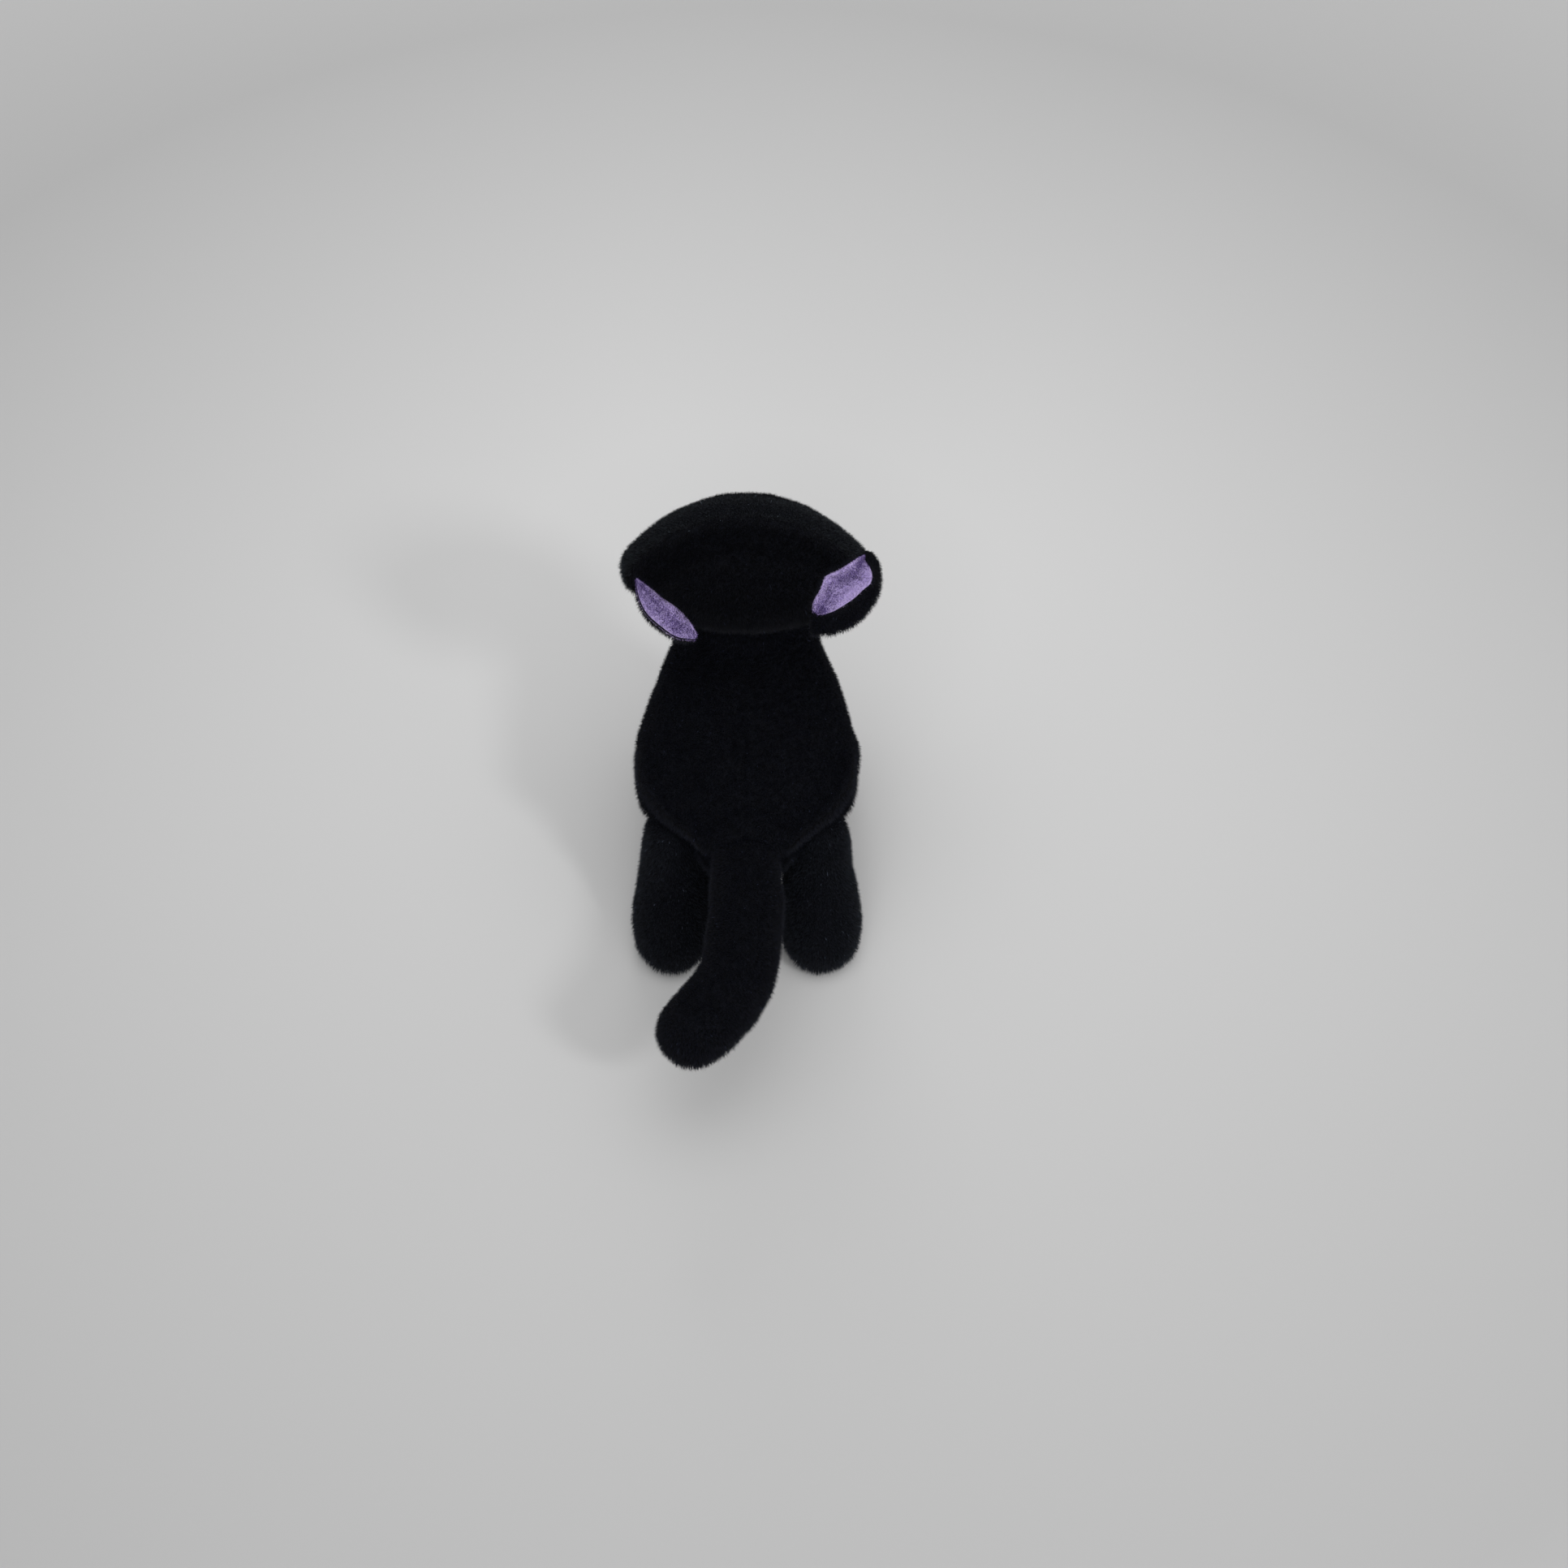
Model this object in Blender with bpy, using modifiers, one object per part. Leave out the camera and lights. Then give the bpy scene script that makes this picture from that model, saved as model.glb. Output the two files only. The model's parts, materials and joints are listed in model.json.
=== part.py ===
"""Plush cat, standing on four legs: fur covers cut in panels over fibre stuffing, cupped ears, a tail
in two segments and soft hinges at the neck, ears, legs and tail.

The cat faces -Y, +Z is up, and the soles rest on z = 0. Lengths are in metres. Every limb meets its
neighbour on a ball seat round the hinge, so it turns without touching it.
"""
import math

import bmesh
import bpy
from mathutils import Matrix, Vector
from mathutils.bvhtree import BVHTree

MM = 0.001

CENTRE = (0.18, 27.25, 0)  # moves the design's own origin, so that the box's middle is the frame's

# Fabric and assembly
COVER = 1.6 * MM          # thickness of the short-pile fur with its backing
GAP = 0.3 * MM            # air between pieces that touch
SEAM = 0.35 * MM          # width of the seam line between two panels
SLIVER = 0.001 * MM       # edges shorter than this are merged after a cut
LINING = 1.2 * MM         # thickness of the ear lining

# Body: rings from rump to neck, each from a point on the back to one on the underside
RIDGE = 0.6               # how far up a ring its widest line, the side ridge, lies
BODY_RINGS = (            # back (y, z), underside (y, z), half width
    ((-23, 52), (-24, 26), 24),
    ((-38, 60), (-34, 26.5), 45.5),
    ((-58, 69), (-56, 26), 42.5),
    ((-74, 76), (-82, 28), 36),
    ((-82, 82), (-102, 40), 29),
    ((-84, 92), (-108, 64), 24),
)
BODY_POLES = ((0, -12, 39), (0, -97, 92))  # the body form's ends, at the rump and in the neck
BACK_SEAM = 0.72          # how far up a ring the back panel's seam runs
BELLY_SEAM = 0.16         # the same for the belly panel

# Neck and head
NECK_CENTRE = (0, -95, 80)
NECK_BALL = 19.5
NECK_SLOT = 4.2           # each side of the neck's middle plane that body and head leave free
NECK_BAND = 12            # how far the cover reaches each side of the neck's middle plane
NECK_LEAN = 20            # degrees that the neck leans forward
HEAD_CENTRE = (0, -88, 107)
HEAD_RINGS = (            # distance from the middle, half depth, half height, drop of the centre
    (0, 27.5, 24.5, 0),
    (17, 25, 21.5, -0.5),
    (30, 16.5, 14, -1.5),
    (38, 7.5, 6, -2.5),
)
HEAD_TIP, HEAD_TIP_DROP = 41.5, -2
FACE_SEAM = 6             # how far behind the head's centre the seam over the crown lies
FACE_SEAM_LEAN = 12       # degrees that this seam leans back
CHEEK_SEAM = -3           # height of the seam between forehead and cheeks, from the centre

# Eyes and nose
EYE_SIDE, EYE_HEIGHT = 17.5, 2.0
EYE_RADIUS, EYE_BULGE = 5.6, 3.4
SHANK_RADIUS, SHANK_LENGTH, SHANK_HOLE = 1.4, 7.5, 1.8
WASHER_RADIUS, WASHER_THICK = 4.6, 1.2
WASHER_DEPTH = 1.2        # how far behind the curved cover the flat washer lies
NOSE_HEIGHT, NOSE_SIZE = -4.5, (3.6, 1.6, 2.5)
MOUTH_RADIUS = 0.45
MOUTH = ((-6.5, -8.8), (-5.2, -10.8), (-2.8, -11.4), (-0.7, -10.2), (0, -8.6),
         (0.7, -10.2), (2.8, -11.4), (5.2, -10.8), (6.5, -8.8))

# Ears: quarter shells of an ellipsoid, hinged on their base line
EAR_LENGTH, EAR_REACH, EAR_DEPTH = 14.5, 18, 9.5
EAR_TOP, EAR_FOOT = (36, -82, 109), (20.5, -70, 101)
EAR_DROOP = {"left": 28, "right": 8}
EAR_SWING = 20

# Legs: rings of foot and shank, and the ball seat at the hip
LEG_RADIUS, LEG_BALL = 10.8, 13.2
LEG_SIDE = {"front": 22, "hind": 24}
HIP = {"front": (-84, 30), "hind": (-33, 29.5)}
FOOT = {"front": -90, "hind": -14}
LEG_RINGS = (             # height, half width, half length, how far the middle has moved to the hip
    (-3, 11, 14.5, 0),
    (6, 16.5, 21.5, 0),
    (18, 14.5, 17, 0.4),
)
LEG_RISES = (0, 20)       # heights above the hip of the two round rings that the leg runs on through
LEG_POLES = (-6, 26)      # the leg form's ends, below the foot and above the hip
RING_DRAW = 0.955         # share of its radius that subdivision leaves a ring of eight points

# Tail: a line through its middle, with a joint at its root and one half way
TAIL_LINE = ((0.5, -27, 40), (-0.5, -4, 39), (-0.5, 19, 38.5), (5, 38, 37.5), (21, 53, 37))
TAIL_RADIUS = (12.6, 12.8, 13.4, 14, 13.4)
TAIL_POLES = (6, 6.5)     # how far the tail form's ends lie beyond its line
TAIL_BALL = 16.2          # radius of the ball seats on the tail
TAIL_ROOT_SPOT, TAIL_BEND_SPOT = (0, -13, 39), (-0.5, 17, 38.5)

FINISHES = {              # colour and roughness
    "black_plush": ((0.006, 0.006, 0.008), 0.95),
    "lavender_plush": ((0.47, 0.37, 0.68), 0.9),
    "fibre_fill": ((0.85, 0.85, 0.82), 1.0),
    "eye_plastic": ((0.75, 0.42, 0.03), 0.12),
    "washer_plastic": ((0.6, 0.6, 0.58), 0.5),
    "thread": ((0.42, 0.3, 0.6), 0.7),
}


def vector(point):
    return Vector(point) * MM


def collection(name):
    made = bpy.data.collections.new(name)
    bpy.context.scene.collection.children.link(made)
    return made


for old in list(bpy.data.objects):
    bpy.data.objects.remove(old, do_unlink=True)
PARTS = collection("plush_cat")
CUTTERS = collection("cutters")


def material(name, colour, roughness, metallic=0.0):
    made = bpy.data.materials.get(name) or bpy.data.materials.new(name)
    made.use_nodes = True
    shader = made.node_tree.nodes["Principled BSDF"]
    shader.inputs["Base Color"].default_value = (*colour, 1)
    shader.inputs["Roughness"].default_value = roughness
    shader.inputs["Metallic"].default_value = metallic
    made.diffuse_color = (*colour, 1)
    return made


def to_object(bm, name):
    """The bmesh as a scene object, normals outward."""
    bmesh.ops.recalc_face_normals(bm, faces=bm.faces)
    mesh = bpy.data.meshes.new(name)
    bm.to_mesh(mesh)
    bm.free()
    made = bpy.data.objects.new(name, mesh)
    CUTTERS.objects.link(made)
    return made


def bake(thing):
    """Turn the object's modifiers into its mesh."""
    graph = bpy.context.evaluated_depsgraph_get()
    mesh = bpy.data.meshes.new_from_object(thing.evaluated_get(graph), depsgraph=graph)
    thing.modifiers.clear()
    thing.data = mesh
    return thing


def drop(*things):
    for thing in things:
        bpy.data.objects.remove(thing, do_unlink=True)


def copy(thing, name):
    made = bpy.data.objects.new(name, thing.data.copy())
    made.matrix_world = thing.matrix_world
    CUTTERS.objects.link(made)
    return made


def span(thing):
    """The lowest and highest corners of an object's mesh."""
    spots = [vertex.co for vertex in thing.data.vertices]
    return [[pick(spot[axis] for spot in spots) for axis in range(3)] for pick in (min, max)]


def apart(one, other):
    """Whether two objects' boxes keep clear of each other."""
    (low, high), (floor, ceiling) = span(one), span(other)
    return any(low[axis] > ceiling[axis] or high[axis] < floor[axis] for axis in range(3))


def clean(thing):
    """Split the flat outlines that a cut leaves into triangles, and merge the slivers."""
    bm = bmesh.new()
    bm.from_mesh(thing.data)
    bmesh.ops.triangulate(bm, faces=bm.faces)
    bmesh.ops.remove_doubles(bm, verts=bm.verts, dist=SLIVER)
    bmesh.ops.dissolve_degenerate(bm, edges=bm.edges, dist=SLIVER)
    bm.to_mesh(thing.data)
    bm.free()


def boolean(thing, cutter, operation="DIFFERENCE"):
    """Cut, join or intersect with another object, which is then removed."""
    if operation == "UNION" or not apart(thing, cutter):
        step = thing.modifiers.new("cut", "BOOLEAN")
        step.operation = operation
        step.object = cutter
        bpy.context.view_layer.update()
        bake(thing)
        clean(thing)
    drop(cutter)
    return thing


def loft(name, rings, ends):
    """A closed solid through rings of points, ending in two poles, smoothed by subdivision."""
    bm = bmesh.new()
    rows = [[bm.verts.new(point) for point in ring] for ring in rings]
    count = len(rows[0])
    for low, high in zip(rows, rows[1:]):
        for i in range(count):
            j = (i + 1) % count
            bm.faces.new((low[i], low[j], high[j], high[i]))
    for row, end in zip((rows[0], rows[-1]), ends):
        tip = bm.verts.new(end)
        for i in range(count):
            bm.faces.new((row[i], row[(i + 1) % count], tip))
    made = to_object(bm, name)
    smooth = made.modifiers.new("smooth", "SUBSURF")
    smooth.levels = 1
    smooth.render_levels = 1
    return bake(made)


def inset(thing, depth, name):
    """A copy whose surface lies the given depth inside."""
    made = copy(thing, name)
    normals = [vertex.normal.copy() for vertex in made.data.vertices]
    for vertex, normal in zip(made.data.vertices, normals):
        vertex.co -= normal * depth
    return made


def ball(centre, radius, around=16, along=10, turn=0.3):
    """A sphere, its facets turned so that none lies along a cutting plane."""
    bm = bmesh.new()
    place = Matrix.Translation(centre) @ Matrix.Rotation(turn, 4, (1, 2, 3))
    bmesh.ops.create_uvsphere(bm, u_segments=around, v_segments=along, radius=radius, matrix=place)
    return to_object(bm, "ball")


def block(low, high, turn=None):
    """A box between two corners, turned by a matrix after that."""
    low, high = Vector(low), Vector(high)
    bm = bmesh.new()
    place = Matrix.Translation((low + high) / 2) @ Matrix.Diagonal((*(high - low), 1))
    bmesh.ops.create_cube(bm, size=1, matrix=(turn or Matrix()) @ place)
    return to_object(bm, "block")


def seam_sheet(lines):
    """A thin closed sheet spanned between pairs of points, to cut a seam with."""
    bm = bmesh.new()
    rows = [[bm.verts.new(point) for point in line] for line in lines]
    for low, high in zip(rows, rows[1:]):
        bm.faces.new((low[0], low[1], high[1], high[0]))
    made = to_object(bm, "seam_sheet")
    thick = made.modifiers.new("thick", "SOLIDIFY")
    thick.thickness = SEAM
    thick.offset = 0
    return bake(made)


def islands(thing, names):
    """Split loose pieces into objects, each named for the guide point that it lies nearest to."""
    bm = bmesh.new()
    bm.from_mesh(thing.data)
    left = set(bm.verts)
    groups = []
    while left:
        start = left.pop()
        group, front = {start}, [start]
        while front:
            for edge in front.pop().link_edges:
                for vertex in edge.verts:
                    if vertex in left:
                        left.discard(vertex)
                        group.add(vertex)
                        front.append(vertex)
        groups.append([(vertex.index, vertex.co.copy()) for vertex in group])
    bm.free()
    made = {}
    for name, guide in names.items():
        nearest = min(groups, key=lambda group: min((co - guide).length for _, co in group))
        keep = {index for index, _ in nearest}
        piece = bmesh.new()
        piece.from_mesh(thing.data)
        doomed = [vertex for vertex in piece.verts if vertex.index not in keep]
        bmesh.ops.delete(piece, geom=doomed, context="VERTS")
        made[name] = to_object(piece, name)
    drop(thing)
    return made


def largest(thing, guide):
    """Drop any sliver that a cut left beside the main piece, which passes near the guide point."""
    name = thing.name
    piece = islands(thing, {"main": guide})["main"]
    piece.name = name
    return piece


def body_ring(back, under, half, sides=8):
    """One ring of the body: widest at the side ridge, round above it and fuller below."""
    top, low = vector((0, *back)), vector((0, *under))
    points = []
    for i in range(sides):
        angle = 2 * math.pi * (i + 0.5) / sides
        rise = RIDGE + math.sin(angle) * (1 - RIDGE if math.sin(angle) > 0 else RIDGE)
        points.append(low.lerp(top, rise) + Vector((half * MM * math.cos(angle), 0, 0)))
    return points


def ellipse(centre, across, along, sides=8):
    """A ring about a centre, spanned by two half axes."""
    turns = [2 * math.pi * (i + 0.5) / sides for i in range(sides)]
    return [centre + across * math.cos(turn) + along * math.sin(turn) for turn in turns]


def covered(raw):
    """The shell of a stuffed form and the stuffing inside it, both still uncut."""
    shell = copy(raw, "shell")
    boolean(shell, inset(raw, COVER, "lining"))
    return shell, inset(raw, COVER + GAP, "stuffing")


JOINT_GAP = 2 * GAP
NECK = vector(NECK_CENTRE)
NECK_FRAME = Matrix.Translation(NECK) @ Matrix.Rotation(math.radians(NECK_LEAN), 4, "X")
HEAD = vector(HEAD_CENTRE)
TAIL_ROOT, TAIL_BEND = vector(TAIL_ROOT_SPOT), vector(TAIL_BEND_SPOT)
WIDE = 0.1                # half size of the blocks that trim a whole form


def hip(place, side):
    return vector((side * LEG_SIDE[place], *HIP[place]))


def trim_body(form):
    """Open a body form for the tail, the four hips and the neck."""
    boolean(form, ball(TAIL_ROOT, TAIL_BALL * MM + JOINT_GAP))
    for place in HIP:
        for side in (-1, 1):
            boolean(form, ball(hip(place, side), LEG_BALL * MM + JOINT_GAP))
    boolean(form, ball(NECK, NECK_BALL * MM + JOINT_GAP))
    top = NECK_FRAME @ Matrix.Translation((0, 0, -NECK_SLOT * MM))
    boolean(form, block((-WIDE, -WIDE, 0), (WIDE, WIDE, WIDE), top))


def make_body():
    rings = [body_ring(*ring) for ring in BODY_RINGS]
    raw = loft("body", rings, [vector(spot) for spot in BODY_POLES])
    shell, stuffing = covered(raw)
    drop(raw)
    for share in (BACK_SEAM, BELLY_SEAM):
        lines = []
        for back, under, half in BODY_RINGS:
            point = vector((0, *under)).lerp(vector((0, *back)), share)
            lines.append((point - Vector((WIDE, 0, 0)), point + Vector((WIDE, 0, 0))))
        first = [point + (point - after) * 3 for point, after in zip(lines[0], lines[1])]
        last = [point + (point - before) * 2 for point, before in zip(lines[-1], lines[-2])]
        boolean(shell, seam_sheet([first, *lines, last]))
    split = islands(shell, {"back_panel": vector((0, -60, 72)), "sides": vector((40, -60, 48)),
                            "belly_panel": vector((0, -60, 20))})
    sides = split.pop("sides")
    boolean(sides, block((-SEAM / 2, -2 * WIDE, 0), (SEAM / 2, WIDE, 2 * WIDE)))
    split.update(islands(sides, {"left_side_panel": vector((35, -60, 45)),
                                 "right_side_panel": vector((-35, -60, 45))}))
    guides = {"back_panel": (0, -60, 72), "belly_panel": (0, -60, 26),
              "left_side_panel": (40, -60, 48), "right_side_panel": (-40, -60, 48)}
    for name, panel in split.items():
        trim_body(panel)
        finish(largest(panel, vector(guides[name])), name, "black_plush", "torso")
    trim_body(stuffing)
    finish(stuffing, "body_stuffing", "fibre_fill", "torso")


def make_neck():
    shell = ball(NECK, NECK_BALL * MM)
    boolean(shell, ball(NECK, NECK_BALL * MM - COVER))
    for low, high in ((NECK_BAND * MM, WIDE), (-WIDE, -NECK_BAND * MM)):
        corners = (-WIDE, -WIDE, low), (WIDE, WIDE, high)
        boolean(shell, block(*corners, NECK_FRAME))
    finish(shell, "neck_cover", "black_plush", "neck")
    finish(ball(NECK, NECK_BALL * MM - COVER - GAP), "neck_stuffing", "fibre_fill", "neck")


def head_form():
    rings = []
    for side in (-1, 1):
        for at, deep, tall, drop_by in HEAD_RINGS[::side]:
            if side == 1 and at == 0:
                continue
            centre = HEAD + vector((side * at, 0, drop_by))
            rings.append(ellipse(centre, vector((0, deep, 0)), vector((0, 0, tall))))
    tips = [HEAD + vector((side * HEAD_TIP, 0, HEAD_TIP_DROP)) for side in (-1, 1)]
    return loft("head", rings, tips)


def on_face(tree, x, z):
    """The point and outward normal of the face at a place seen from the front."""
    start = Vector(((x + 0.03) * MM, -1, HEAD.z + (z + 0.03) * MM))  # clear of the mesh's middle edge
    point, normal, _, _ = tree.ray_cast(start, Vector((0, 1, 0)))
    return point, normal


def facing(point, normal):
    """A frame at a point on the face, its z along the normal."""
    return Matrix.Translation(point) @ normal.to_track_quat("Z", "Y").to_matrix().to_4x4()


def disc(frame, radius, low, high, sides=14):
    """A round bar along the frame's z, from low to high."""
    bm = bmesh.new()
    place = frame @ Matrix.Translation((0, 0, (low + high) / 2))
    bmesh.ops.create_cone(bm, cap_ends=True, segments=sides, radius1=radius, radius2=radius,
                          depth=high - low, matrix=place)
    return to_object(bm, "disc")


def make_eye(tree, name, side, forms):
    """A safety eye: a dome on a shank through the cover, held by a washer inside."""
    point, normal = on_face(tree, side * EYE_SIDE, EYE_HEIGHT)
    frame = facing(point, normal)
    seat = COVER + WASHER_DEPTH * MM
    for form in forms:
        boolean(form, disc(frame, SHANK_HOLE * MM, -(SHANK_LENGTH + 1) * MM, 2 * MM, 8))
        boolean(form, disc(frame, EYE_RADIUS * MM + GAP, -0.6 * MM, 3 * MM))
    pocket = disc(frame, (WASHER_RADIUS + 0.4) * MM, -seat - (WASHER_THICK + 0.6) * MM, 0)
    boolean(forms[1], pocket)
    dome = ball(Vector(), 1, 16, 8, 0)
    size = Matrix.Diagonal((EYE_RADIUS * MM, EYE_RADIUS * MM, EYE_BULGE * MM, 1))
    dome.data.transform(frame @ Matrix.Translation((0, 0, -0.3 * MM)) @ size)
    boolean(dome, disc(frame, 2 * EYE_RADIUS * MM, -6 * MM, -0.3 * MM))
    boolean(dome, disc(frame, SHANK_RADIUS * MM, -SHANK_LENGTH * MM, 1 * MM, 8), "UNION")
    finish(dome, name, "eye_plastic", "head")
    washer = disc(frame, WASHER_RADIUS * MM, -seat - WASHER_THICK * MM, -seat)
    boolean(washer, disc(frame, SHANK_HOLE * MM, -1, 1, 8))
    finish(washer, name + "_washer", "washer_plastic", "head")


def make_mouth(tree):
    """The stitched mouth: one thread laid on the surface under the nose."""
    curve = bpy.data.curves.new("mouth", "CURVE")
    curve.dimensions = "3D"
    curve.bevel_depth = MOUTH_RADIUS * MM
    curve.bevel_resolution = 2
    curve.use_fill_caps = True
    line = curve.splines.new("POLY")
    line.points.add(len(MOUTH) - 1)
    for spot, (x, z) in zip(line.points, MOUTH):
        point, normal = on_face(tree, x, z)
        spot.co = (*(point + normal * (MOUTH_RADIUS * MM + GAP)), 1)
    thread = bpy.data.objects.new("mouth_curve", curve)
    CUTTERS.objects.link(thread)
    bpy.context.view_layer.update()
    mesh = bpy.data.meshes.new_from_object(thread.evaluated_get(bpy.context.evaluated_depsgraph_get()))
    drop(thread)
    bm = bmesh.new()
    bm.from_mesh(mesh)
    bmesh.ops.remove_doubles(bm, verts=bm.verts, dist=0.01 * MM)
    finish(to_object(bm, "mouth"), "mouth_stitching", "thread", "head")


def make_nose(tree):
    point, normal = on_face(tree, 0, NOSE_HEIGHT)
    nose = ball(Vector(), 1, 12, 8, 0)
    size = Matrix.Diagonal((*(step * MM for step in (NOSE_SIZE[0], NOSE_SIZE[2], NOSE_SIZE[1])), 1))
    nose.data.transform(facing(point, normal) @ Matrix.Translation((0, 0, GAP)) @ size)
    boolean(nose, disc(facing(point, normal), 10 * MM, -9 * MM, GAP))
    finish(nose, "nose", "thread", "head")


def make_head():
    raw = head_form()
    shell, stuffing = covered(raw)
    for form in (shell, stuffing):
        low = NECK_FRAME @ Matrix.Translation((0, 0, NECK_SLOT * MM))
        boolean(form, block((-WIDE, -WIDE, -WIDE), (WIDE, WIDE, 0), low))
        boolean(form, ball(NECK, NECK_BALL * MM + JOINT_GAP))
    tree = BVHTree.FromPolygons([v.co for v in raw.data.vertices], [p.vertices for p in raw.data.polygons])
    for name, side in (("right_eye", -1), ("left_eye", 1)):
        make_eye(tree, name, side, (shell, stuffing))
    make_nose(tree)
    make_mouth(tree)
    lean = Matrix.Rotation(math.radians(FACE_SEAM_LEAN), 4, "X")
    crown = Matrix.Translation(HEAD + vector((0, FACE_SEAM, 0))) @ lean
    boolean(shell, block((-WIDE, -SEAM / 2, -WIDE), (WIDE, SEAM / 2, WIDE), crown))
    split = islands(shell, {"head_back_panel": HEAD + vector((0, 25, 0)), "face": HEAD + vector((0, -25, 0))})
    face = split.pop("face")
    level = HEAD.z + CHEEK_SEAM * MM
    boolean(face, block((-WIDE, -2 * WIDE, level), (WIDE, WIDE, level + SEAM)))
    split.update(islands(face, {"forehead_panel": HEAD + vector((0, -15, 15)),
                                "cheeks": HEAD + vector((0, -15, -15))}))
    cheeks = split.pop("cheeks")
    boolean(cheeks, block((-SEAM / 2, -2 * WIDE, 0), (SEAM / 2, WIDE, 2 * WIDE)))
    split.update(islands(cheeks, {"left_cheek_panel": HEAD + vector((30, -10, -10)),
                                  "right_cheek_panel": HEAD + vector((-30, -10, -10))}))
    for name, panel in split.items():
        finish(panel, name, "black_plush", "head")
    finish(stuffing, "head_stuffing", "fibre_fill", "head")
    return raw


def ear_frame(name, side):
    """The ear's frame: x along its base line, y outward, z up out of the cup."""
    top, foot = (vector((side * x, y, z)) for x, y, z in (EAR_TOP, EAR_FOOT))
    middle, along = (top + foot) / 2, (top - foot).normalized()
    out = middle - HEAD
    out = (out - along * out.dot(along)).normalized()
    up = along.cross(out)
    if up.z < 0:
        along, up = -along, -up
    turned = Matrix.Rotation(math.radians(-EAR_DROOP[name]), 3, along)
    out, up = turned @ out, turned @ up
    frame = Matrix((along, out, up)).transposed().to_4x4()
    return Matrix.Translation(middle) @ frame, along


def bowl(frame, shrink):
    """A half ellipsoid that opens along z, smaller by the given wall."""
    sizes = (size * MM - shrink for size in (EAR_LENGTH, EAR_REACH, EAR_DEPTH))
    made = ball(Vector(), 1, 14, 10, 0)
    made.data.transform(frame @ Matrix.Diagonal((*sizes, 1)))
    return made


def make_ear(name, side, head):
    frame, along = ear_frame(name, side)
    clear = inset(head, -GAP, "clear")
    swings = [math.radians(EAR_SWING * share) for share in (-1, -0.5, 0, 0.5, 1)]
    layers = (("ear_back", "black_plush", 0, COVER), ("ear_lining", "lavender_plush", COVER + GAP, LINING))
    for layer, finish_name, depth, wall in layers:
        ear = bowl(frame, depth)
        boolean(ear, bowl(frame, depth + wall))
        boolean(ear, block((-WIDE, -WIDE, 0), (WIDE, WIDE, WIDE), frame))
        boolean(ear, block((-WIDE, -WIDE, -WIDE), (WIDE, 0, WIDE), frame))
        for swing in swings:
            skull = copy(clear, "skull")
            centre = frame.translation
            turn = Matrix.Rotation(-swing, 4, along)
            skull.data.transform(Matrix.Translation(centre) @ turn @ Matrix.Translation(-centre))
            boolean(ear, skull)
        finish(largest(ear, frame @ vector((0, EAR_REACH, 0))), f"{name}_{layer}", finish_name, f"{name}_ear")
    drop(clear)


def leg_form(place, side):
    """The whole leg, running on below the floor and above the hip, to be trimmed."""
    top = hip(place, side)
    foot = vector((side * (LEG_SIDE[place] + 1), FOOT[place], 0))
    rings = []
    for height, half, length, share in LEG_RINGS:
        centre = foot.lerp(top, share)
        centre.z = height * MM
        rings.append(ellipse(centre, vector((half, 0, 0)), vector((0, length, 0))))
    radius = LEG_RADIUS * MM / RING_DRAW
    for rise in LEG_RISES:
        centre = top + vector((0, 0, rise))
        rings.append(ellipse(centre, Vector((radius, 0, 0)), Vector((0, radius, 0))))
    low, high = LEG_POLES
    return loft("leg", rings, (foot + vector((0, 0, low)), top + vector((0, 0, high))))


def rounded_top(form, centre, radius, low, high):
    """Trim the part of a form that is inside a block and outside the ball seat."""
    trim = block(low, high)
    boolean(trim, ball(centre, radius))
    boolean(form, trim)


def make_leg(place, side, name):
    raw = leg_form(place, side)
    shell, stuffing = covered(raw)
    sole = copy(stuffing, "sole")
    centre = hip(place, side)
    below = (-WIDE, -2 * WIDE, -WIDE)
    for form, floor in ((shell, 0), (stuffing, COVER + GAP), (sole, 0)):
        boolean(form, block(below, (WIDE, WIDE, floor)))
    boolean(sole, block((-WIDE, -2 * WIDE, COVER), (WIDE, WIDE, WIDE)))
    for form in (shell, stuffing):
        rounded_top(form, centre, LEG_BALL * MM, (-WIDE, -2 * WIDE, centre.z), (WIDE, WIDE, WIDE))
    drop(raw)
    group = f"{place}_{name}_leg"
    finish(shell, group + "_cover", "black_plush", group)
    finish(stuffing, group + "_stuffing", "fibre_fill", group)
    finish(sole, group + "_sole", "black_plush", group)


def tail_form():
    points = [vector(point) for point in TAIL_LINE]
    rings = []
    for i, (point, radius) in enumerate(zip(points, TAIL_RADIUS)):
        before, after = points[max(i - 1, 0)], points[min(i + 1, len(points) - 1)]
        way = (after - before).normalized()
        across = way.cross(Vector((0, 0, 1))).normalized() * radius * MM
        rings.append(ellipse(point, across, Vector((0, 0, radius * MM))))
    last = (points[-1] - points[-2]).normalized()
    ends = points[0] - vector((0, TAIL_POLES[0], 0)), points[-1] + last * TAIL_POLES[1] * MM
    return loft("tail", rings, ends)


def make_tail():
    raw = tail_form()
    for part in ("base", "tip"):
        shell, stuffing = covered(raw)
        for form, kind in ((shell, "cover"), (stuffing, "stuffing")):
            behind = (-WIDE, TAIL_BEND.y, -WIDE), (WIDE, WIDE, WIDE)
            if part == "base":
                ahead = (-WIDE, -WIDE, -WIDE), (WIDE, TAIL_ROOT.y, WIDE)
                rounded_top(form, TAIL_ROOT, TAIL_BALL * MM, *ahead)
                rounded_top(form, TAIL_BEND, TAIL_BALL * MM, *behind)
            else:
                boolean(form, ball(TAIL_BEND, TAIL_BALL * MM + JOINT_GAP))
                boolean(form, block((-WIDE, -WIDE, -WIDE), (WIDE, TAIL_BEND.y, WIDE)))
            finish_name = "black_plush" if kind == "cover" else "fibre_fill"
            guide = vector(TAIL_LINE[2 if part == "base" else -1])
            finish(largest(form, guide), f"tail_{part}_{kind}", finish_name, "tail_" + part)
    drop(raw)


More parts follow.
